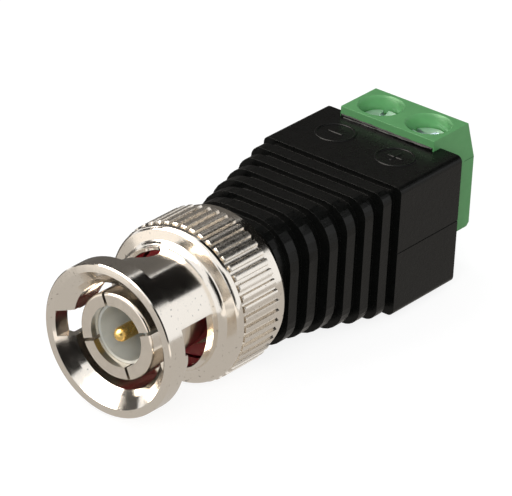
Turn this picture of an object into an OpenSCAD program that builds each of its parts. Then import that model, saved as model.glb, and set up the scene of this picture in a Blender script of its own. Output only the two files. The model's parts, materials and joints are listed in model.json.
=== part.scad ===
// Coaxial bayonet plug with a two-way screw terminal block, in millimetres.
// X is the axis of the plug and points out of its mouth. The origin is the centre of the
// coupling nut's front face, and the terminal screws face up (+Z).
// Depths are measured back from that front face, so a depth d lies at x = -d.

/* [Coupling nut] */
// Length of the nut from its front face to its rear rim
nut_len = 15.8; // [15:0.1:17]
// Radius of the front flange
flange_r = 7.1; // [6.8:0.05:7.6]
// Width of the front flange
flange_w = 2.0; // [1.5:0.1:2.6]
// Radius of the flat front face's inner edge
mouth_r = 6.33; // [6.2:0.01:6.5]
// Outer radius of the waist between flange and knurl
waist_r = 5.7; // [5.5:0.01:6]
// Bore that guides the jack's barrel
nut_bore_r = 4.93; // [4.8:0.01:5.1]
// Wider bore behind the bayonet slots
nut_relief_r = 5.42; // [5.3:0.01:5.5]
// Depth at which the waist starts to flare out
flare_start = 7.9; // [7.6:0.1:8.2]
// Depth of the front end of the knurl
knurl_start = 9.75; // [9.5:0.05:10]
// Length of the plain rim behind the knurl
rim_len = 1.55; // [1.4:0.05:1.8]
// Radius over the knurl ribs
knurl_r = 7.5; // [7.3:0.01:7.7]
// Number of knurl ribs
knurl_count = 48; // [36:1:60]
// Depth of the grooves between the knurl ribs
knurl_depth = 0.3; // [0.2:0.01:0.35]

/* [Bayonet slots] */
// Width of the slots that let the jack's lugs in
entry_w = 2.45; // [2.2:0.05:2.8]
// Angle of the first entry slot from +Y towards +Z
entry_angle = 5.5; // [0:0.5:10]
// Radius that the entry slots reach through the flange
entry_r = 6.1; // [5.7:0.05:6.2]
// Turn from the entry slot to the lock hole
lock_turn = 77; // [70:1:85]
// Depth of the lock hole's centre
lock_depth = 6.85; // [6.5:0.05:7]
// Radius of the lock hole
lock_r = 1.38; // [1.1:0.02:1.45]
// Depth of the cam edge where it starts
cam_start = 4.0; // [3.6:0.1:4.4]

/* [Contacts] */
// Outer radius of the slotted outer contact
contact_r = 4.05; // [3.95:0.01:4.15]
// Inner radius of the slotted outer contact
contact_bore_r = 2.83; // [2.75:0.01:2.95]
// Depth of the outer contact's front face
contact_front = 1.12; // [0.9:0.01:1.5]
// Length of the slotted fingers
finger_len = 6.2; // [5.5:0.1:7]
// Width of the saw cuts between the fingers
finger_gap = 0.3; // [0.2:0.05:0.4]
// Radius of the centre pin
pin_r = 0.675; // [0.65:0.005:0.7]
// Depth of the centre pin's tip
pin_tip = 1.2; // [1:0.05:2]
// Depth of the insulator's floor inside the contact
cup_floor = 6.4; // [5.5:0.1:7]
// Bore of the insulator's cup
cup_bore_r = 2.55; // [2.5:0.01:2.6]

/* [Plug body] */
// Radius of the body's flange, which turns in the nut
body_flange_r = 6.02; // [5.9:0.01:6.1]
// Width of that flange
body_flange_w = 1.1; // [0.8:0.1:1.3]
// Radius of the body's neck inside the spring
neck_r = 4.3; // [4.1:0.05:4.5]
// Radius of the shank that the boot grips
shank_r = 4.6; // [4.4:0.05:4.8]
// Length of the shank behind the boot's front face
shank_len = 8.6; // [7.6:0.1:9.4]
// Thickness of the sealing gasket
gasket_t = 1.0; // [0.7:0.1:1.2]
// Height of the wave spring at rest
spring_h = 1.15; // [0.9:0.05:1.3]
// Thickness of the thrust washer
washer_t = 0.4; // [0.3:0.05:0.5]
// Thickness of the split retaining ring
ring_t = 0.52; // [0.4:0.02:0.6]

/* [Boot] */
// Gap between the nut's rear rim and the boot
boot_gap = 0.8; // [0.7:0.1:1.2]
// Length of the boot's plain nose in front of the first rib
nose_len = 1.09; // [0.9:0.01:1.4]
// Distance from one rib to the next
rib_pitch = 2.2; // [2.1:0.01:2.3]
// Number of ribs
rib_count = 6; // [5:1:6]
// Width of the groove between two ribs
rib_gap = 1.0; // [0.7:0.05:1.1]
// Depth of that groove
rib_cut = 0.5; // [0.3:0.05:0.6]
// Length of the box behind the ribs
box_len = 9.19; // [8.7:0.01:9.7]
// Width of the boot's box
box_w = 15.74; // [15.5:0.02:16.2]
// Height of the boot's top above the axis
box_top = 6.12; // [6:0.02:6.3]
// Depth of the boot's underside below the axis
box_bottom = 6.82; // [6.6:0.02:7]
// Radius of the box's upper long edges
box_edge_r = 0.6; // [0.4:0.05:0.9]
// Radius of its lower long edges
box_low_r = 0.65; // [0.5:0.05:1.2]
// Height of the mould's parting line, below the axis
parting_z = 0.45; // [0.3:0.05:0.7]

/* [Terminal block] */
// Width of the terminal block
block_w = 10.73; // [10.6:0.01:10.9]
// Distance between the two screws
pitch = 5.47; // [5.4:0.01:5.5]
// Height of the block's top above the axis
block_top = 7.15; // [7:0.05:7.3]
// Depth of the block's underside below the axis
block_bottom = 3.85; // [3.7:0.05:4]
// Distance that the block's top reaches forward over the boot's rear end
block_over = 1.08; // [0.8:0.02:1.2]
// Length of the block's top face
block_top_len = 5.36; // [5.2:0.02:5.5]
// Radius of the screwdriver holes
driver_r = 2.03; // [1.95:0.01:2.04]
// Radius of the terminal screw's head
head_r = 2.16; // [2.16:0.01:2.2]
// Radius of the terminal screw's thread
screw_r = 1.25; // [1.1:0.05:1.3]
// Radius of the wire entries
wire_r = 1.0; // [0.8:0.05:1.02]
// Travel of the wire clamps
clamp_travel = 2.0; // [1.6:0.1:2]

/* [Hidden] */
$fn = 96;

// Running clearance of what turns or slides, gap between seated pieces, overshoot of cuts
run_fit = 0.08;
seat = 0.02;
cut = 1;

// Depths along the stack of the swivel joint, counted forward from the nut's rear rim
ring_lip = 0.61;
ring_front = nut_len - ring_lip - ring_t;
washer_front = ring_front - seat - washer_t;
flange_back = washer_front - spring_h;
shoulder = flange_back - body_flange_w;
boot_front = nut_len + boot_gap;
shank_end = boot_front + shank_len;
nut_cavity_r = body_flange_r + run_fit;
ring_groove_r = nut_cavity_r + 0.4;
boss_front = shoulder - 0.4;
gasket_front = boss_front - gasket_t;
contact_end = shoulder + 4;
contact_tail_r = 3.6;
rear_bore_r = 3.0;
pin_tail_r = 1.1;
pin_end = shank_end - 0.7;

// Turns a depth and radius outline about the plug's axis
module turned(outline)
  rotate([0, -90, 0])
    rotate_extrude()
      polygon([for (p = outline) [p[1], p[0]]]);

// Plain disc or bore on the axis between two depths
module on_axis(r, d0, d1)
  translate([-d1, 0, 0])
    rotate([0, 90, 0])
      cylinder(r = r, h = d1 - d0);

module washer(r_in, r_out, d0, d1)
  turned([[d0, r_in], [d0, r_out], [d1, r_out], [d1, r_in]]);

// Points of an arc, as depth and radius
function arc(d, r, radius, a0, a1, steps) =
  [for (i = [0 : steps]) let (a = a0 + (a1 - a0) * i / steps)
    [d + radius * cos(a), r + radius * sin(a)]];

// Faces that join closed rings of m points, n rings in all, with flat ends
function skin_faces(n, m) = concat(
  [[for (j = [0 : m - 1]) m - 1 - j]],
  [for (i = [0 : n - 2], j = [0 : m - 1]) let (k = (j + 1) % m)
    [i * m + j, i * m + k, (i + 1) * m + k]],
  [for (i = [0 : n - 2], j = [0 : m - 1]) let (k = (j + 1) % m)
    [i * m + j, (i + 1) * m + k, (i + 1) * m + j]],
  [[for (j = [0 : m - 1]) (n - 1) * m + j]]);

// Coupling nut: one turned piece, with the knurl, entry slots, cam slots and lock holes cut in
cone_depth = 0.8;
cone_r = 5.4;
lead_depth = 1.3;
relief_start = 7.3;
edge = 0.1;
lip_r = 7.35;
lip_start = 9.2;
lip_end = 9.55;
rim_start = nut_len - rim_len;
rim_r = 7.13;
flare_r = 0.85;

module nut_turning()
  turned(concat(
    [[0, mouth_r], [0, flange_r - edge], [edge, flange_r], [flange_w - edge, flange_r],
      [flange_w, flange_r - edge], [flange_w, waist_r]],
    arc(flare_start, waist_r + flare_r, flare_r, -90, -25, 8),
    arc(lip_start + 0.15, lip_r - 0.5, 0.5, 155, 90, 6),
    [[lip_end, lip_r], [lip_end + 0.05, lip_r - 0.3], [knurl_start - 0.05, lip_r - 0.3],
      [knurl_start, knurl_r - 0.08], [knurl_start + 0.1, knurl_r], [rim_start, knurl_r],
      [rim_start + 0.12, rim_r], [nut_len - 0.4, rim_r], [nut_len, rim_r - 0.25],
      [nut_len, nut_cavity_r],
      [ring_front + ring_t + 0.05, nut_cavity_r], [ring_front + ring_t + 0.05, ring_groove_r],
      [ring_front - seat, ring_groove_r], [ring_front - seat, nut_cavity_r],
      [shoulder, nut_cavity_r], [shoulder, nut_relief_r],
      [relief_start + nut_relief_r - nut_bore_r, nut_relief_r], [relief_start, nut_bore_r],
      [lead_depth, nut_bore_r], [cone_depth, cone_r]]));

// One groove of the knurl, a tapered channel along the axis
module knurl_groove() {
  top_w = PI * knurl_r / knurl_count;
  floor_w = 0.62 * top_w;
  floor_r = knurl_r - knurl_depth;
  top_r = knurl_r + knurl_depth;
  translate([-rim_start - 0.2, 0, 0])
    rotate([90, 0, 90])
      linear_extrude(rim_start - knurl_start + 0.25)
        polygon([[floor_r, -floor_w / 2], [top_r, -top_w * 0.69], [top_r, top_w * 0.69],
          [floor_r, floor_w / 2]]);
}

// Slot swept round the waist from the entry slot to the lock hole, cam edge in front
slot_steps = 26;
slot_front = flange_w - 0.2;
slot_mid_r = (waist_r + nut_bore_r) / 2;
slot_top = entry_angle + asin(entry_w / 2 / slot_mid_r);
slot_turn = entry_angle - asin(entry_w / 2 / slot_mid_r);
lock_angle = entry_angle - lock_turn;
slot_end = lock_angle - 2.3;
slot_back = 7.35;
slot_back_end = 8.05;
cam_end = lock_depth - 1.22;
slot_in_r = nut_bore_r - cut;
slot_out_r = waist_r + 0.75;

function cam_depth(a) =
  a > slot_turn ? slot_front : cam_start + (cam_end - cam_start) * pow((slot_turn - a)
    / (slot_turn - slot_end), 0.8);
function back_depth(a) =
  slot_back + (slot_back_end - slot_back) * pow((slot_top - a) / (slot_top - slot_end), 2);
function slot_ring(a, front, back) =
  [for (p = [[front, slot_in_r], [front, slot_out_r], [back, slot_out_r], [back, slot_in_r]])
    [-p[0], p[1] * cos(a), p[1] * sin(a)]];

module cam_slot() {
  turn = [for (i = [0 : slot_steps]) slot_turn - (slot_turn - slot_end) * i / slot_steps];
  rings = concat(
    [for (a = [slot_top, entry_angle + 4, entry_angle - 4, slot_turn + 0.4])
      slot_ring(a, slot_front, back_depth(a))],
    [for (a = turn) slot_ring(a, cam_depth(a), back_depth(a))]);
  polyhedron(
    points = [for (r = rings, p = r) p],
    faces = skin_faces(len(rings), 4),
    convexity = 6);
}

module entry_slot()
  intersection() {
    rotate([entry_angle, 0, 0])
      translate([0.05 - flange_w, 0, -entry_w / 2])
        cube([flange_w + cut, flange_r, entry_w]);
    on_axis(entry_r, -2 * cut, flange_w + cut);
  }

module lock_hole()
  rotate([lock_angle, 0, 0])
    translate([-lock_depth, slot_in_r, 0])
      rotate([-90, 0, 0])
        cylinder(r = lock_r, h = slot_out_r - slot_in_r);

module coupling_nut()
  color([0.78, 0.76, 0.72])
    difference() {
      nut_turning();
      for (i = [0 : knurl_count - 1])
        rotate([360 * (i + 0.5) / knurl_count, 0, 0])
          knurl_groove();
      for (side = [0, 180])
        rotate([side, 0, 0]) {
          entry_slot();
          cam_slot();
          lock_hole();
        }
    }

// Split ring that snaps into the nut's groove and holds the stack together
ring_in_r = 5.3;
ring_split = 3.2;
module retaining_ring()
  color([0.7, 0.7, 0.72])
    difference() {
      washer(ring_in_r, ring_groove_r - run_fit, ring_front, ring_front + ring_t);
      rotate([-90, 0, 0])
        translate([-ring_front - ring_t - cut, 0, -ring_split / 2])
          cube([ring_t + 2 * cut, ring_groove_r, ring_split]);
    }

module thrust_washer()
  color([0.75, 0.75, 0.77])
    washer(neck_r + run_fit, nut_cavity_r - run_fit, washer_front, washer_front + washer_t);

// Wave spring: a ring of thin strip that rises and falls three times
wave_t = 0.22;
wave_steps = 60;
wave_in_r = neck_r + 0.15;
wave_out_r = nut_cavity_r - 0.2;
module wave_spring() {
  middle = flange_back + spring_h / 2;
  height = spring_h / 2 - wave_t / 2 - seat;
  m = 4;
  pts = [for (i = [0 : wave_steps - 1]) let (a = 360 * i / wave_steps,
      d = middle + height * cos(3 * a))
    for (p = [[d - wave_t / 2, wave_in_r], [d - wave_t / 2, wave_out_r],
        [d + wave_t / 2, wave_out_r], [d + wave_t / 2, wave_in_r]])
      [-p[0], p[1] * cos(a), p[1] * sin(a)]];
  quads = [for (i = [0 : wave_steps - 1], j = [0 : m - 1]) let (n = (i + 1) % wave_steps,
      k = (j + 1) % m)
    [i * m + j, i * m + k, n * m + k, n * m + j]];
  color([0.6, 0.6, 0.62])
    polyhedron(
      points = pts,
      faces = [for (q = quads, t = [[q[0], q[2], q[1]], [q[0], q[3], q[2]]]) t],
      convexity = 6);
}

// Plug body: boss and flange in front, neck under the spring, grooved shank in the boot
grip_count = 3;
module plug_body()
  color([0.74, 0.73, 0.7])
    difference() {
      turned([[boss_front, contact_tail_r], [boss_front, nut_relief_r - 0.12],
        [shoulder + seat, nut_relief_r - 0.12], [shoulder + seat, body_flange_r],
        [flange_back, body_flange_r], [flange_back, neck_r], [boot_front + 0.8, neck_r],
        [boot_front + 0.8, shank_r], [shank_end, shank_r], [shank_end, rear_bore_r],
        [contact_end, rear_bore_r], [contact_end, contact_tail_r]]);
      for (i = [0 : grip_count - 1])
        washer(shank_r - 0.5, shank_r + cut, boot_front + 2.4 + 2 * i, boot_front + 3.2 + 2 * i);
    }

// Outer contact: a sleeve with a rounded nose, sawn into four fingers
nose_r = 0.27;
module outer_contact()
  color([0.8, 0.78, 0.74])
    difference() {
      turned(concat(
        [[contact_front, contact_bore_r]],
        arc(contact_front + nose_r, contact_r - nose_r, nose_r, 180, 90, 6),
        [[contact_front + finger_len - 1, contact_r],
          [contact_front + finger_len - 0.8, contact_r - 0.25],
          [boss_front - gasket_t - 0.4, contact_r - 0.25],
          [boss_front - gasket_t - 0.3, contact_r], [boss_front, contact_r],
          [boss_front, contact_tail_r - seat], [contact_end, contact_tail_r - seat],
          [contact_end, contact_bore_r]]));
      for (a = [0 : 90 : 270])
        rotate([a + 24.6, 0, 0])
          translate([-contact_front - finger_len, 0, -finger_gap / 2])
            cube([finger_len + cut, contact_r + cut, finger_gap]);
    }

// Front insulator: a cup that lines the contact, with the pin through its floor
module front_insulator()
  color([0.85, 0.86, 0.84])
    turned([[contact_front + 0.93, cup_bore_r], [contact_front + 0.93, contact_bore_r - seat],
      [contact_end, contact_bore_r - seat], [contact_end, pin_tail_r + seat],
      [cup_floor, pin_tail_r + seat], [cup_floor, cup_bore_r]]);

module rear_insulator()
  color([0.85, 0.85, 0.8])
    washer(pin_tail_r + seat, rear_bore_r - seat, contact_end + seat, shank_end - 1.8);

// Centre pin: domed tip, shoulder in the insulator's floor, solder cup at the rear
module centre_pin()
  color([0.85, 0.65, 0.25])
    difference() {
      turned(concat(
        [[pin_tip, 0]],
        arc(pin_tip + pin_r, 0, pin_r, 168, 90, 8),
        [[cup_floor, pin_r], [cup_floor, pin_tail_r], [pin_end, pin_tail_r], [pin_end, 0]]));
      on_axis(0.7, pin_end - 2, pin_end + cut);
    }

module gasket()
  color([0.5, 0.06, 0.1])
    washer(contact_r + 0.05, nut_relief_r - 0.12, gasket_front, boss_front - seat);

// Boot: flat-sided ribs that widen towards a box, which holds the terminal block
rib_w = [5.9, 6.28, 6.8, 7.0, 7.27, 7.57];
rib_top_r = [4.2, 3.8, 3.4, 2.67, 1.9, 1.15];
rib_low_r = [2.9, 3.2, 3.4, 2.6, 1.85, 1.35];
rib_bottom = [6.1, 6.25, 6.45, 6.55, 6.6, 6.7];
rib_start = boot_front + nose_len;
box_start = rib_start + rib_count * rib_pitch;
boot_end = box_start + box_len;

// Quarter turn of a corner, from angle a, as points in the YZ plane
corner_steps = 7;
function corner(y, z, r, a) = [for (i = [0 : corner_steps]) let (t = a + 90 * i / corner_steps)
  [y + r * cos(t), z + r * sin(t)]];

// Section of the boot: half width w with its own corner radii, made smaller by g all round
function section(w, bottom, top_r, low_r, g) =
  let (wy = w - g, zt = box_top - g, zb = g - bottom, rt = max(top_r - g, 0.1),
    rb = max(low_r - g, 0.1))
  concat(corner(wy - rt, zt - rt, rt, 0), corner(rt - wy, zt - rt, rt, 90),
    corner(rb - wy, zb + rb, rb, 180), corner(wy - rb, zb + rb, rb, 270));

function rib_section(i, g) = section(rib_w[i], rib_bottom[i], rib_top_r[i], rib_low_r[i], g);

// Straight length of the boot with one section
module slab(d0, d1, outline)
  translate([-d1, 0, 0])
    rotate([90, 0, 90])
      linear_extrude(d1 - d0)
        polygon(outline);

module boot_form() {
  slab(boot_front, rib_start + 0.1, rib_section(0, rib_cut));
  for (i = [0 : rib_count - 1]) {
    d = rib_start + i * rib_pitch;
    slab(d, d + rib_pitch - rib_gap, rib_section(i, 0));
    slab(d + rib_pitch - rib_gap - 0.1, d + rib_pitch + 0.1, rib_section(i, rib_cut));
  }
  slab(box_start, boot_end, section(box_w / 2, box_bottom, box_edge_r, box_low_r, 0));
}

// Room inside the boot: for the shank, the wires, the block and its solder pins
room_w = 10;
room_low = -5.4;
room_top = 4.2;
module boot_hollow() {
  room_front = shank_end + 0.8;
  room_back = block_front - 0.1;
  on_axis(neck_r + seat, boot_front - cut, boot_front + 0.9);
  on_axis(shank_r + seat, boot_front + 0.8 - seat, shank_end + 0.9);
  translate([-room_back, -room_w / 2, room_low])
    cube([room_back - room_front, room_w, room_top - room_low]);
  translate([-pin_depth - 1.2, -room_w / 2, room_low])
    cube([pin_depth + 1.2 - room_back + cut, room_w, cut - block_bottom - room_low]);
  block_space(seat);
}

// Fine groove where the two halves of the mould meet, on both sides of the box
parting_w = 0.09;
module parting_line()
  for (side = [-1, 1])
    translate([-boot_end - cut, side * (box_w / 2 + cut) - cut - parting_w, -parting_z])
      cube([boot_end - box_start + 2 * cut, 2 * (cut + parting_w), parting_w]);

module boot()
  color([0.1, 0.1, 0.1])
    difference() {
      boot_form();
      boot_hollow();
      parting_line();
    }

// Terminal block: an extruded profile with two cells for the clamps
block_lip = boot_end - block_over;
block_front = block_lip - 2.6;
block_step = box_top - 1.1;
block_end = block_lip + block_top_len;
wire_face = block_end + 1.29;
bend_z = 3.36;
screw_depth = block_lip + 2.7;
cage_l = 3.0;
pocket_floor = 3.9;
pocket_top = 5.35;
cell_w = 4.1;
cell_front = screw_depth - cage_l / 2 - 0.12;
cell_back = screw_depth + cage_l / 2 + 0.12;
cell_top = 3.6;
cell_floor = -2.95;
strip_top = 0.3;
strip_t = 0.5;
strip_w = 2.5;
pin_depth = block_front + 1.35;
pin_w = 1.0;
pin_low = 5.2;
cage_w = 3.9;
cage_wall = 0.55;
cage_top_t = 1.0;
cage_low_t = 0.6;
cage_top = cell_top - 0.05 - clamp_travel;
cage_in_top = cage_top - cage_top_t;
cage_in_low = strip_top - strip_t - clamp_travel - 0.05;
wire_z = (cage_in_low + strip_top - strip_t) / 2;
chamfer = 0.35;

// Side outline of the block, grown by a gap for the pocket that holds it
function block_outline(g) = [
  [-block_lip + g, block_top + g], [-block_end - g, block_top + g],
  [-wire_face - g, bend_z], [-wire_face - g, -block_bottom + chamfer],
  [-wire_face + chamfer - g, -block_bottom - g], [-block_front + g, -block_bottom - g],
  [-block_front + g, block_step + g], [-block_lip + g, block_step + g]];

module block_space(g)
  translate([0, block_w / 2 + g, 0])
    rotate([90, 0, 0])
      linear_extrude(block_w + 2 * g)
        polygon(block_outline(g));

// Everything cut for one of the two ways, at its own y
module block_cell() {
  translate([-screw_depth, 0, pocket_top])
    cylinder(r = driver_r, h = block_top);
  translate([-screw_depth, 0, block_top - 0.2])
    cylinder(r1 = driver_r, r2 = driver_r + 0.3, h = 0.3);
  translate([-screw_depth, 0, pocket_floor])
    cylinder(r = head_r + 0.05, h = pocket_top - pocket_floor);
  translate([-screw_depth, 0, cell_top - cut])
    cylinder(r = screw_r + 0.1, h = pocket_floor - cell_top + 2 * cut);
  translate([-cell_back, -cell_w / 2, cell_floor])
    cube([cell_back - cell_front, cell_w, cell_top - cell_floor]);
  translate([-cell_front - cut, -strip_w / 2 - seat, strip_top - strip_t - seat])
    cube([cell_front - pin_depth + strip_t + seat + cut, strip_w + 2 * seat,
      strip_t + 2 * seat]);
  translate([-pin_depth - seat, -pin_w / 2 - seat, -block_bottom - cut])
    cube([strip_t + 2 * seat, pin_w + 2 * seat, block_bottom + cut]);
  translate([-cell_back + cut, 0, wire_z])
    rotate([0, -90, 0])
      cylinder(r = wire_r, h = 3 * cut);
  translate([-wire_face + 0.65, 0, wire_z])
    rotate([0, -90, 0])
      cylinder(r1 = wire_r, r2 = wire_r + 0.7, h = 0.7);
}

module terminal_block()
  color([0.33, 0.6, 0.37])
    difference() {
      block_space(0);
      for (y = [-pitch / 2, pitch / 2])
        translate([0, y, 0])
          block_cell();
    }

// Contact strip: a tongue through the clamp, bent down into a solder pin
module contact_strip(y)
  color([0.8, 0.72, 0.5])
    translate([0, y, 0]) {
      translate([-screw_depth - cage_l / 2 + 0.1, -strip_w / 2, strip_top - strip_t])
        cube([screw_depth + cage_l / 2 - 0.1 - pin_depth + strip_t, strip_w, strip_t]);
      translate([-pin_depth, -pin_w / 2, -pin_low])
        cube([strip_t, pin_w, pin_low + strip_top - strip_t / 2]);
    }

// Clamp cage: a square loop round the strip and the wire, threaded on its screw
module clamp_cage(y)
  color([0.75, 0.75, 0.78])
    translate([-screw_depth, y, 0])
      difference() {
        translate([-cage_l / 2, -cage_w / 2, cage_in_low - cage_low_t])
          cube([cage_l, cage_w, cage_top - cage_in_low + cage_low_t]);
        translate([-cage_l / 2 - cut, -cage_w / 2 + cage_wall, cage_in_low])
          cube([cage_l + 2 * cut, cage_w - 2 * cage_wall, cage_in_top - cage_in_low]);
        translate([0, 0, cage_in_top - cut])
          cylinder(r = screw_r + 0.05, h = cage_top_t + 2 * cut);
      }

// Clamp screw: a cheese head with a combined slot and cross, on a plain shank
head_t = 0.95;
slot_w = 0.5;
module clamp_screw(y, angle)
  color([0.8, 0.82, 0.85])
    translate([-screw_depth, y, 0])
      difference() {
        union() {
          translate([0, 0, pocket_floor + seat])
            cylinder(r = head_r, h = head_t - 0.15);
          translate([0, 0, pocket_floor + seat + head_t - 0.15])
            cylinder(r1 = head_r, r2 = head_r - 0.25, h = 0.15);
          translate([0, 0, strip_top + seat])
            cylinder(r = screw_r, h = pocket_floor - strip_top);
        }
        for (turn = [[0, 2 * head_r + cut], [90, 2.4]])
          rotate([0, 0, angle + turn[0]])
            translate([-turn[1] / 2, -slot_w / 2, pocket_floor + seat + head_t - 0.5])
              cube([turn[1], slot_w, cut]);
      }

// Round wire along a few straight runs, mitred at each bend
wire_sides = 16;
function run(points, i) = (points[i + 1] - points[i]) / norm(points[i + 1] - points[i]);
function wire_rings(points, ring, i = 1) =
  i >= len(points) ? [ring] :
  let (d = run(points, i - 1), n = i < len(points) - 1 ? d + run(points, i) : d,
    next = [for (q = ring) q + d * ((points[i] - q) * n) / (d * n)])
    concat([ring], wire_rings(points, next, i + 1));

module wire_run(points, r) {
  ring = [for (k = [0 : wire_sides - 1])
    points[0] + r * [0, cos(360 * k / wire_sides), sin(360 * k / wire_sides)]];
  rings = wire_rings(points, ring);
  polyhedron(
    points = [for (one = rings, q = one) q],
    faces = skin_faces(len(rings), wire_sides),
    convexity = 4);
}

inner_wire_r = 0.42;
joint_z = -4.3;
wire_end = -pin_depth + strip_t + seat;
wire_bends = [-shank_end - 1.8, -shank_end - 4.8, -shank_end - 7.8];
ground_y = (shank_r + rear_bore_r) / 2;
module signal_wire()
  color([0.75, 0.1, 0.1])
    wire_run([[-pin_end + 1.9, 0, 0], [wire_bends[0], 0, 0], [wire_bends[1], 1.2, joint_z / 2],
      [wire_bends[2], pitch / 2, joint_z], [wire_end, pitch / 2, joint_z]], inner_wire_r);

module ground_wire()
  color([0.78, 0.78, 0.8])
    wire_run([[-shank_end - seat, -ground_y, 0], [wire_bends[0], -ground_y, 0],
      [wire_bends[1], -3.2, joint_z / 2], [wire_bends[2], -pitch / 2, joint_z],
      [wire_end, -pitch / 2, joint_z]], inner_wire_r);

coupling_nut();
retaining_ring();
thrust_washer();
wave_spring();
plug_body();
outer_contact();
front_insulator();
centre_pin();
rear_insulator();
gasket();
boot();
terminal_block();
contact_strip(pitch / 2);  // contact_strip_signal
contact_strip(-pitch / 2);  // contact_strip_ground
clamp_cage(pitch / 2);  // clamp_cage_signal
clamp_cage(-pitch / 2);  // clamp_cage_ground
clamp_screw(pitch / 2, 75);  // clamp_screw_signal
clamp_screw(-pitch / 2, 20);  // clamp_screw_ground
signal_wire();
ground_wire();
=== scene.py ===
import json
import math

import bmesh
import bpy
from mathutils import Matrix, Vector


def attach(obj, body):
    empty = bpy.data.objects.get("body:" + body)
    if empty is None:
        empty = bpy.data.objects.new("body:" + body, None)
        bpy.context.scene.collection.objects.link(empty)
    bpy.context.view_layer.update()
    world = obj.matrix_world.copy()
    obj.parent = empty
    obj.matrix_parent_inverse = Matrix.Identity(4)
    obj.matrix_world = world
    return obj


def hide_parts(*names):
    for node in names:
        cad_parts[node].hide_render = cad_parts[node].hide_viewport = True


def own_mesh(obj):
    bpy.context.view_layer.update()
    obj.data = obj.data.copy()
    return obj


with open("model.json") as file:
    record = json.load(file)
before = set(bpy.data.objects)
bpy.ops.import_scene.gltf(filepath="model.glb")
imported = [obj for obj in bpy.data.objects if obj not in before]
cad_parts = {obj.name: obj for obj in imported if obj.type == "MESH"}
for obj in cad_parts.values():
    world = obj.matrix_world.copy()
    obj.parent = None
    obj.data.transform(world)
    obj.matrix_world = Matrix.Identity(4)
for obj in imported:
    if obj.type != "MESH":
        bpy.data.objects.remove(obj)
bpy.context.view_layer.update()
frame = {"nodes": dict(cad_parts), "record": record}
nodes = frame["nodes"]
MM = 0.001
bpy.context.scene.view_settings.view_transform = "Standard"


# ---------- camera: solved from the photograph's edges and circles ----------

RIGHT = Vector((-0.6248, 0.7794, 0.0470)).normalized()
UP = Vector((-0.3346, -0.3216, 0.8858)).normalized()
TOWARD = RIGHT.cross(UP).normalized()
LENS_PX = 4164.2
CAMERA_AT = Vector((240.91, 199.05, 172.31)) * MM

camera_data = bpy.data.cameras.new("camera")
camera_data.sensor_fit = "HORIZONTAL"
camera_data.sensor_width = 36.0
camera_data.lens = LENS_PX / 512.0 * 36.0
camera_data.clip_start = 0.05
camera_data.clip_end = 20.0
camera = bpy.data.objects.new("camera", camera_data)
bpy.context.scene.collection.objects.link(camera)
turn = Matrix((RIGHT, TOWARD.cross(RIGHT), TOWARD)).transposed()
camera.matrix_world = Matrix.Translation(CAMERA_AT) @ turn.to_4x4()
bpy.context.scene.camera = camera


# ---------- materials ----------

class Mat:
    """A node material with one Principled shader, and short helpers for its inputs."""

    def __init__(self, name):
        self.mat = bpy.data.materials.new(name)
        self.mat.use_nodes = True
        self.tree = self.mat.node_tree
        self.tree.nodes.clear()
        self.out = self.node("ShaderNodeOutputMaterial")
        self.bsdf = self.node("ShaderNodeBsdfPrincipled")
        self.link(self.bsdf.outputs[0], self.out.inputs["Surface"])
        self.coord = self.node("ShaderNodeTexCoord").outputs["Object"]

    def node(self, kind, **values):
        n = self.tree.nodes.new(kind)
        for key, value in values.items():
            setattr(n, key, value)
        return n

    def link(self, a, b):
        self.tree.links.new(a, b)

    def set(self, **values):
        for key, value in values.items():
            self.bsdf.inputs[key.replace("_", " ")].default_value = value
        return self

    def noise(self, scale, detail=3.0, rough=0.55, stretch=None):
        n = self.node("ShaderNodeTexNoise")
        n.inputs["Scale"].default_value = scale
        n.inputs["Detail"].default_value = detail
        n.inputs["Roughness"].default_value = rough
        source = self.coord
        if stretch:
            m = self.node("ShaderNodeMapping")
            m.inputs["Scale"].default_value = stretch
            self.link(source, m.inputs["Vector"])
            source = m.outputs[0]
        self.link(source, n.inputs["Vector"])
        return n.outputs["Fac"]

    def ramp(self, value, stops):
        r = self.node("ShaderNodeValToRGB")
        r.color_ramp.elements[0].position, r.color_ramp.elements[0].color = stops[0][0], rgba(stops[0][1])
        r.color_ramp.elements[1].position, r.color_ramp.elements[1].color = stops[-1][0], rgba(stops[-1][1])
        for place, colour in stops[1:-1]:
            r.color_ramp.elements.new(place).color = rgba(colour)
        self.link(value, r.inputs["Fac"])
        return r.outputs["Color"]

    def range(self, value, low, high, a=0.3, b=0.7):
        r = self.node("ShaderNodeMapRange")
        for key, x in (("From Min", a), ("From Max", b), ("To Min", low), ("To Max", high)):
            r.inputs[key].default_value = x
        self.link(value, r.inputs["Value"])
        return r.outputs[0]

    def to(self, value, socket):
        self.link(value, self.bsdf.inputs[socket])
        return self

    def bump(self, value, strength, distance):
        b = self.node("ShaderNodeBump")
        b.inputs["Strength"].default_value = strength
        b.inputs["Distance"].default_value = distance
        self.link(value, b.inputs["Height"])
        if self.bsdf.inputs["Normal"].is_linked:
            self.link(self.bsdf.inputs["Normal"].links[0].from_socket, b.inputs["Normal"])
        self.link(b.outputs[0], self.bsdf.inputs["Normal"])
        return self


def rgba(c):
    return (c, c, c, 1.0) if isinstance(c, float) else (*c, 1.0)


def nickel(name, tone, rough_low, rough_high, scale=900.0):
    m = Mat(name).set(Metallic=1.0)
    m.to(m.ramp(m.noise(scale), [(0.3, tone), (0.7, tuple(0.93 * t for t in tone))]), "Base Color")
    m.to(m.range(m.noise(2.6 * scale, 5.0, 0.65), rough_low, rough_high), "Roughness")
    m.bump(m.noise(5.0 * scale, 4.0), 0.04, 0.00002)
    return m.mat


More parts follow.
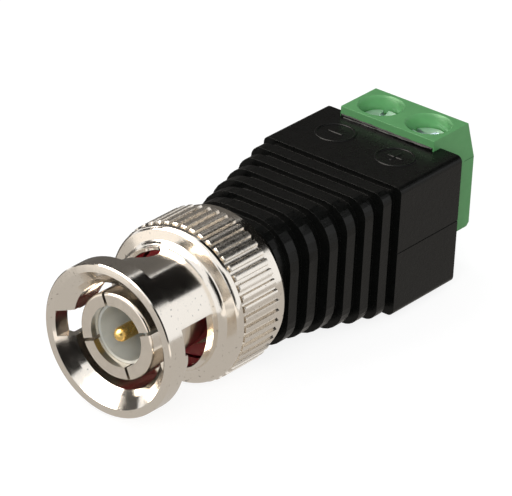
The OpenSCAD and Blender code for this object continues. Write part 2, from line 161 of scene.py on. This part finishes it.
def math_node(m, operation, *values):
    """A Math node on values or sockets."""
    n = m.node("ShaderNodeMath", operation=operation)
    for i, value in enumerate(values):
        if isinstance(value, (int, float)):
            n.inputs[i].default_value = value
        else:
            m.link(value, n.inputs[i])
    return n.outputs[0]


def nut_nickel(name, tone, knurl=(-14.3, -9.7), ribs=48):
    """Nickel plate with tiny pits, and on the knurl a rougher plate with crowned ribs."""
    m = Mat(name).set(Metallic=1.0)
    place = m.node("ShaderNodeSeparateXYZ")
    m.link(m.coord, place.inputs[0])
    x, y, z = place.outputs
    front = math_node(m, "LESS_THAN", x, knurl[1] * MM)
    rear = math_node(m, "GREATER_THAN", x, knurl[0] * MM)
    reach = math_node(m, "SQRT", math_node(m, "ADD", math_node(m, "MULTIPLY", y, y), math_node(m, "MULTIPLY", z, z)))
    outside = math_node(m, "GREATER_THAN", reach, 7.1 * MM)
    knurled = math_node(m, "MULTIPLY", math_node(m, "MULTIPLY", front, rear), outside)
    wave = math_node(m, "COSINE", math_node(m, "MULTIPLY", math_node(m, "ARCTAN2", z, y), float(ribs)))
    pits = m.ramp(m.noise(3200.0, 3.0, 0.55), [(0.29, tuple(0.5 * t for t in tone)), (0.34, tone), (0.8, tone)])
    m.to(pits, "Base Color")
    smooth = m.range(m.noise(1500.0, 5.0, 0.65), 0.10, 0.17)
    m.to(math_node(m, "ADD", smooth, math_node(m, "MULTIPLY", knurled, 0.13)), "Roughness")
    m.bump(math_node(m, "MULTIPLY", knurled, wave), 1.0, 0.00003)
    m.bump(m.noise(4200.0, 4.0), 0.06, 0.00002)
    return m.mat


def plastic(name, tone, light, rough, specular, grain=2600.0, depth=0.25):
    m = Mat(name)
    m.bsdf.inputs["Specular IOR Level"].default_value = specular
    m.to(m.ramp(m.noise(700.0), [(0.25, tone), (0.75, light)]), "Base Color")
    m.to(m.range(m.noise(1900.0), rough - 0.06, rough + 0.06), "Roughness")
    m.bump(m.noise(grain, 4.0, 0.6), depth, 0.00004)
    return m.mat


looks = {
    "nickel": nut_nickel("nickel_plate", (0.88, 0.83, 0.76)),
    "nickel_contact": nickel("contact_plate", (0.88, 0.82, 0.74), 0.13, 0.2),
    "steel": nickel("spring_steel", (0.55, 0.54, 0.53), 0.25, 0.35),
    "gold": nickel("gold_plate", (0.92, 0.64, 0.22), 0.24, 0.32),
    "tinned": nickel("tin_plate", (0.66, 0.66, 0.65), 0.25, 0.35),
    "zinc": nickel("zinc_plate", (0.86, 0.92, 0.96), 0.3, 0.44, scale=2200.0),
    "insulator": plastic("insulator_plastic", (0.42, 0.43, 0.40), (0.47, 0.48, 0.45), 0.35, 0.45, depth=0.1),
    "silicone": plastic("gasket_silicone", (0.20, 0.009, 0.016), (0.24, 0.012, 0.02), 0.4, 0.25, depth=0.1),
    "boot": plastic("boot_plastic", (0.0022, 0.0024, 0.0022), (0.0035, 0.0037, 0.0034), 0.29, 0.17, grain=3000.0, depth=0.4),
    "green": plastic("block_plastic", (0.088, 0.285, 0.10), (0.1, 0.31, 0.112), 0.42, 0.4, depth=0.15),
    "green_shade": plastic("block_seam_shade", (0.03, 0.1, 0.035), (0.04, 0.13, 0.045), 0.6, 0.2),
    # light grey of the flash line: a painted highlight on the black boot plastic
    "boot_flash_highlight": plastic("flash_painted_highlight", (0.10, 0.095, 0.09), (0.2, 0.19, 0.18), 0.45, 0.5),
    "wire_red": plastic("red_wire", (0.5, 0.03, 0.03), (0.55, 0.04, 0.04), 0.4, 0.4),
    "wire_black": plastic("black_wire", (0.02, 0.02, 0.02), (0.03, 0.03, 0.03), 0.4, 0.4),
}
for part in frame["record"]["subparts"]:
    mesh = nodes[part["node"]].data
    mesh.materials.clear()
    mesh.materials.append(looks[part["material_slot"]])


# ---------- softened moulded edges of the boot and the terminal block ---

def soften(node, width, segments=2, angle=35):
    """Rounds the sharp edges of a CAD node a little, so that they catch the light."""
    weld = nodes[node].modifiers.new("joined_faces", "WELD")
    weld.merge_threshold = 0.0005 * MM
    bevel = nodes[node].modifiers.new("soft_edges", "BEVEL")
    bevel.width = width * MM
    bevel.segments = segments
    bevel.limit_method = "ANGLE"
    bevel.angle_limit = math.radians(angle)
    bevel.use_clamp_overlap = True
    bevel.harden_normals = True


soften("boot", 0.13, 3)
soften("terminal_block", 0.08, 2, angle=60)


# ---------- raised marks on the boot's top ----------

BOOT_TOP = 6.12
MARKS = {"minus": (-35.95, -3.5), "plus": (-35.72, 3.52)}
MARK_RADIUS = 1.82
BAR_LENGTH = 1.7


def add_piece(name, build, material, body, smooth=True):
    """Makes a mesh piece from a bmesh that build fills in, in millimetres, and lets it ride on a body."""
    bm = bmesh.new()
    build(bm)
    for v in bm.verts:
        v.co *= MM
    bmesh.ops.recalc_face_normals(bm, faces=bm.faces)
    mesh = bpy.data.meshes.new(name)
    bm.to_mesh(mesh)
    bm.free()
    for face in mesh.polygons:
        face.use_smooth = smooth
    mesh.materials.append(material)
    o = bpy.data.objects.new(name, mesh)
    bpy.context.scene.collection.objects.link(o)
    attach(o, body)
    return o


def sweep(bm, path, section, closed=False):
    """Joins one ring of points after another: section gives each path point its ring."""
    rings = [[bm.verts.new(p) for p in section(i, point)] for i, point in enumerate(path)]
    pairs = list(zip(rings, rings[1:] + (rings[:1] if closed else [])))
    if not closed:
        bm.faces.new(rings[0])
        bm.faces.new(rings[-1])
        pairs = list(zip(rings, rings[1:]))
    for a, b in pairs:
        for j in range(len(a)):
            k = (j + 1) % len(a)
            bm.faces.new((a[j], a[k], b[k], b[j]))


def mark_ring(bm, x, y, radius, width=0.16, height=0.09):
    """Low rounded ring that stands on the boot's top."""
    turns = [2 * math.pi * i / 72 for i in range(72)]

    def section(i, a):
        points = []
        for j in range(8):
            t = math.pi * j / 7
            r = radius + width * math.cos(t)
            points.append((x + r * math.cos(a), y + r * math.sin(a), BOOT_TOP - 0.02 + (height + 0.02) * math.sin(t)))
        return points

    sweep(bm, turns, section, closed=True)


def mark_bar(bm, x, y, along_x, length, width=0.17, height=0.1):
    """Low rounded bar, along x or along y."""
    path = [-1.0, -0.96, -0.88, 0.0, 0.88, 0.96, 1.0]
    scale = [0.35, 0.75, 1.0, 1.0, 1.0, 0.75, 0.35]

    def section(i, u):
        points = []
        for j in range(8):
            t = math.pi * j / 7
            side, up = width * scale[i] * math.cos(t), (height * scale[i] + 0.02) * math.sin(t)
            px, py = (u * length / 2, side) if along_x else (side, u * length / 2)
            points.append((x + px, y + py, BOOT_TOP - 0.02 + up))
        return points

    sweep(bm, path, section)


def minus_mark(bm):
    x, y = MARKS["minus"]
    mark_ring(bm, x, y, MARK_RADIUS)
    mark_bar(bm, x, y, False, BAR_LENGTH)


def plus_mark(bm):
    x, y = MARKS["plus"]
    mark_ring(bm, x, y, MARK_RADIUS)
    mark_bar(bm, x, y, False, BAR_LENGTH)
    mark_bar(bm, x, y, True, BAR_LENGTH)


add_piece("mark_minus", minus_mark, looks["boot"], "plug")
add_piece("mark_plus", plus_mark, looks["boot"], "plug")


# ---------- slotted crowns of the terminal screws, on their flat heads ----------

SCREW_X = -41.7
SCREW_Y = 2.735
HEAD_TOP = 4.87
CROWN_TOP = 5.85
CROWN_R = 1.93
SLOT_W = 0.5


def turned_disc(bm, x, y, outline, sides=64):
    """Turns an outline of radius and height round the upright line through x and y."""
    rings = [[bm.verts.new((x + r * math.cos(2 * math.pi * j / sides), y + r * math.sin(2 * math.pi * j / sides), z))
              for j in range(sides)] for r, z in outline]
    bm.faces.new(rings[0])
    bm.faces.new(rings[-1])
    for a, b in zip(rings, rings[1:]):
        for j in range(sides):
            k = (j + 1) % sides
            bm.faces.new((a[j], a[k], b[k], b[j]))


def box(bm, x, y, z, length, width, height, angle):
    """A box round a centre, turned about the upright."""
    made = bmesh.ops.create_cube(bm, size=1.0)["verts"]
    turn = Matrix.Rotation(math.radians(angle), 4, "Z")
    for v in made:
        v.co = turn @ Vector((v.co.x * length, v.co.y * width, v.co.z * height)) + Vector((x, y, z))


def cut_away(o, build):
    """Cuts the solid that build makes, in millimetres, out of a piece for good."""
    bm = bmesh.new()
    build(bm)
    for v in bm.verts:
        v.co *= MM
    mesh = bpy.data.meshes.new(o.name + "_cut")
    bm.to_mesh(mesh)
    bm.free()
    tool = bpy.data.objects.new(o.name + "_cut", mesh)
    bpy.context.scene.collection.objects.link(tool)
    change = o.modifiers.new("cut", "BOOLEAN")
    change.object = tool
    change.solver = "EXACT"
    bpy.context.view_layer.update()
    done = bpy.data.meshes.new_from_object(o.evaluated_get(bpy.context.evaluated_depsgraph_get()))
    o.modifiers.clear()
    o.data = done
    bpy.data.objects.remove(tool)


def crown(name, body, y, angle):
    o = add_piece(name, lambda bm: turned_disc(bm, SCREW_X, y, [
        (CROWN_R, HEAD_TOP - 0.01), (CROWN_R, CROWN_TOP - 0.12), (CROWN_R - 0.12, CROWN_TOP)]),
        looks["zinc"], body, smooth=False)
    for turn, length in ((0, 2 * CROWN_R + 1), (90, 2.6)):
        cut_away(o, lambda bm: box(bm, SCREW_X, y, CROWN_TOP, length, SLOT_W, 1.0, angle + turn))


crown("screw_crown_signal", "screw_signal", SCREW_Y, 75)
crown("screw_crown_ground", "screw_ground", -SCREW_Y, 20)


# ---------- wave spring strip in place of the CAD spring; the real spring flattens as the nut is drawn forward ---

SPRING_FRONT = -13.12
SPRING_LENGTH = 1.11
SPRING_STRIP = 0.22
SPRING_R = (4.47, 5.88)


def spring_strip(bm, steps=144, waves=3):
    rise = (SPRING_LENGTH - SPRING_STRIP) / 2
    middle = SPRING_FRONT - SPRING_LENGTH / 2

    def section(i, a):
        x = middle - rise * math.cos(waves * a)
        half, soft = SPRING_STRIP / 2, 0.05
        inner, outer = SPRING_R
        return [(x + dx, r * math.cos(a), r * math.sin(a)) for dx, r in (
            (half, inner + soft), (half, outer - soft), (half - soft, outer), (soft - half, outer),
            (-half, outer - soft), (-half, inner + soft), (soft - half, inner), (half - soft, inner))]

    sweep(bm, [2 * math.pi * i / steps for i in range(steps)], section, closed=True)


spring = add_piece("spring_strip", spring_strip, looks["steel"], "plug", smooth=False)
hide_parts("wave_spring")
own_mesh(spring)


# ---------- seam on the block's sides: a thin strip of darker green, painted shade of the seam's groove ---

def side_seams(bm):
    for side in (-1, 1):
        box(bm, -44.86, side * 5.365, 3.33, 1.5, 0.012, 0.05, 0)


add_piece("block_seam", side_seams, looks["green_shade"], "plug", smooth=False)


# ---------- thin flash line with a painted highlight, and a black strip of painted shade on the lip where the block leaves the boot ---

LIP_X = -39.0
FLASH_HALF = 5.25


def ragged(y, seed):
    """Small uneven step, the same in each run, between -1 and 1."""
    return 0.5 * math.sin(3.1 * y + seed) + 0.3 * math.sin(7.7 * y + 2.3 * seed) + 0.2 * math.sin(17.3 * y + 0.7 * seed)


# The lip strip is a thin black sheet over the lower front of the green lip: painted shade of the gap where the block
# leaves the boot.
def lip_painted_shade(bm):
    path = [-FLASH_HALF + 2 * FLASH_HALF * i / 80 for i in range(81)]

    def section(i, y):
        top = BOOT_TOP + 0.33 + 0.03 * ragged(y, 1.0)
        x = LIP_X + 0.05
        return [(x, y, BOOT_TOP - 0.02), (x, y, top), (LIP_X + 0.005, y, top), (LIP_X + 0.005, y, BOOT_TOP - 0.02)]

    sweep(bm, path, section)


# The flash line is a thin ragged ridge in a light grey far above the boot's black: a painted highlight along the burr's
# lit edge.
def flash_line(bm):
    path = [-4.9 + 9.7 * i / 120 for i in range(121)]

    def section(i, y):
        share = (y + 4.9) / 9.7
        z = BOOT_TOP + 0.02 + 0.2 * share + 0.03 * ragged(y, 4.0)
        x = LIP_X + 0.06
        t = 0.035 + 0.02 * ragged(y, 9.0)
        return [(x + t, y, z - t), (x + t, y, z + t), (x - 0.02, y, z + t), (x - 0.02, y, z - t)]

    sweep(bm, path, section)


add_piece("lip_painted_shade", lip_painted_shade, looks["boot"], "plug")
add_piece("flash_line", flash_line, looks["boot_flash_highlight"], "plug", smooth=False)


# ---------- floor, background and lights ----------

def background_switch(tree, shade, bright):
    """Shows bright where the camera, a glossy or a transmitted ray looks, and shade to all other rays."""
    path = tree.nodes.new("ShaderNodeLightPath")
    either = path.outputs["Is Camera Ray"]
    for name in ("Is Glossy Ray", "Is Transmission Ray"):
        largest = tree.nodes.new("ShaderNodeMath")
        largest.operation = "MAXIMUM"
        tree.links.new(either, largest.inputs[0])
        tree.links.new(path.outputs[name], largest.inputs[1])
        either = largest.outputs[0]
    mix = tree.nodes.new("ShaderNodeMixShader")
    tree.links.new(either, mix.inputs[0])
    tree.links.new(shade, mix.inputs[1])
    tree.links.new(bright, mix.inputs[2])
    return mix.outputs[0]


world = bpy.data.worlds.new("studio")
bpy.context.scene.world = world
world.use_nodes = True
tree = world.node_tree
tree.nodes.clear()
room = tree.nodes.new("ShaderNodeBackground")
room.inputs["Color"].default_value = (1.0, 1.0, 1.0, 1.0)
room.inputs["Strength"].default_value = 0.55
seen = tree.nodes.new("ShaderNodeBackground")
seen.inputs["Color"].default_value = (1.0, 1.0, 1.0, 1.0)
seen.inputs["Strength"].default_value = 1.0
world_out = tree.nodes.new("ShaderNodeOutputWorld")
tree.links.new(background_switch(tree, room.outputs[0], seen.outputs[0]), world_out.inputs["Surface"])

floor_mat = bpy.data.materials.new("floor")
floor_mat.use_nodes = True
tree = floor_mat.node_tree
tree.nodes.clear()
matt = tree.nodes.new("ShaderNodeBsdfDiffuse")
matt.inputs["Color"].default_value = (0.55, 0.55, 0.55, 1.0)
faint = tree.nodes.new("ShaderNodeBsdfDiffuse")
faint.inputs["Color"].default_value = (0.22, 0.22, 0.22, 1.0)
glow = tree.nodes.new("ShaderNodeEmission")
glow.inputs["Strength"].default_value = 0.84
bright = tree.nodes.new("ShaderNodeAddShader")
tree.links.new(faint.outputs[0], bright.inputs[0])
tree.links.new(glow.outputs[0], bright.inputs[1])
floor_out = tree.nodes.new("ShaderNodeOutputMaterial")
tree.links.new(background_switch(tree, matt.outputs[0], bright.outputs[0]), floor_out.inputs["Surface"])


def sheet(name, centre, across, along, mat):
    """A flat rectangle from its centre and its two half-edges, in metres."""
    centre, across, along = Vector(centre), Vector(across), Vector(along)
    mesh = bpy.data.meshes.new(name)
    mesh.from_pydata(
        [centre - across - along, centre + across - along, centre + across + along, centre - across + along],
        [], [(0, 1, 2, 3)])
    mesh.materials.append(mat)
    o = bpy.data.objects.new(name, mesh)
    bpy.context.scene.collection.objects.link(o)
    return o


FLOOR_Z = -7.56 * MM
sheet("floor", (0, 0, FLOOR_Z), (3, 0, 0), (0, 3, 0), floor_mat)


def lamp(name, place, aim, size, watts):
    data = bpy.data.lights.new(name, "AREA")
    data.shape = "RECTANGLE"
    data.size, data.size_y = size
    data.energy = watts
    o = bpy.data.objects.new(name, data)
    bpy.context.scene.collection.objects.link(o)
    o.location = place
    o.rotation_euler = (Vector(aim) - Vector(place)).to_track_quat("-Z", "Y").to_euler()
    o.visible_glossy = False
    return o


MIDDLE = Vector((-0.02, 0, 0))
lamp("key", (-0.05, -0.25, 0.45), MIDDLE, (0.3, 0.3), 0.7)
lamp("fill", (0.35, 0.25, 0.25), MIDDLE, (0.3, 0.3), 1.6)


def glow_mat(name, level):
    """A plain emitting material of one grey level."""
    mat = bpy.data.materials.new(name)
    mat.use_nodes = True
    tree = mat.node_tree
    tree.nodes.clear()
    light = tree.nodes.new("ShaderNodeEmission")
    light.inputs["Color"].default_value = (level, 0.94 * level, 0.87 * level, 1.0)
    out = tree.nodes.new("ShaderNodeOutputMaterial")
    tree.links.new(light.outputs[0], out.inputs["Surface"])
    return mat


def card(name, centre, across, along, level):
    """A studio card that only reflections show: it gives polished metal its dark and grey bands."""
    o = sheet(name, centre, across, along, glow_mat(name, level))
    o.visible_camera = False
    o.visible_diffuse = False
    o.visible_shadow = False
    return o


def card_towards(name, direction, wide, high, level, distance=0.32):
    """A card that faces the object from a direction, with its half-angles in degrees.

    wide runs round the plug's axis and high runs away from it.
    """
    d = Vector(direction).normalized()
    round_axis = Vector((1, 0, 0)).cross(d).normalized()
    card(name, MIDDLE + d * distance, round_axis * distance * math.tan(math.radians(wide)),
         d.cross(round_axis) * distance * math.tan(math.radians(high)), level)


def back_direction(turn):
    """The direction that the plug's cylinders mirror towards the camera, turned about the axis."""
    a = math.radians(turn)
    return (-0.7055, 0.7087 * math.cos(a), 0.7087 * math.sin(a))


card_towards("card_back_top", back_direction(77), 21, 26, 0.006)
card_towards("card_camera_side", (0.79, 0.56, 0.28), 20, 22, 0.01)
card_towards("card_left_back", back_direction(147), 28, 40, 0.12)
card_towards("card_left_front", (0.33, -0.87, 0.36), 16, 14, 0.03)
card_towards("card_strip", (0.46, -0.54, 0.705), 30, 30, 9.0)
card("card_floor", (0, 0, FLOOR_Z + 0.05 * MM), (0.5, 0, 0), (0, 0.5, 0), 0.52)
card("card_floor_left", (-0.25, -0.32, FLOOR_Z + 0.2 * MM), (0.25, 0, 0), (0, 0.3, 0), 0.13)
card("card_floor_front", (0.27, -0.1, FLOOR_Z + 0.2 * MM), (0.25, 0, 0), (0, 0.25, 0), 1.1)
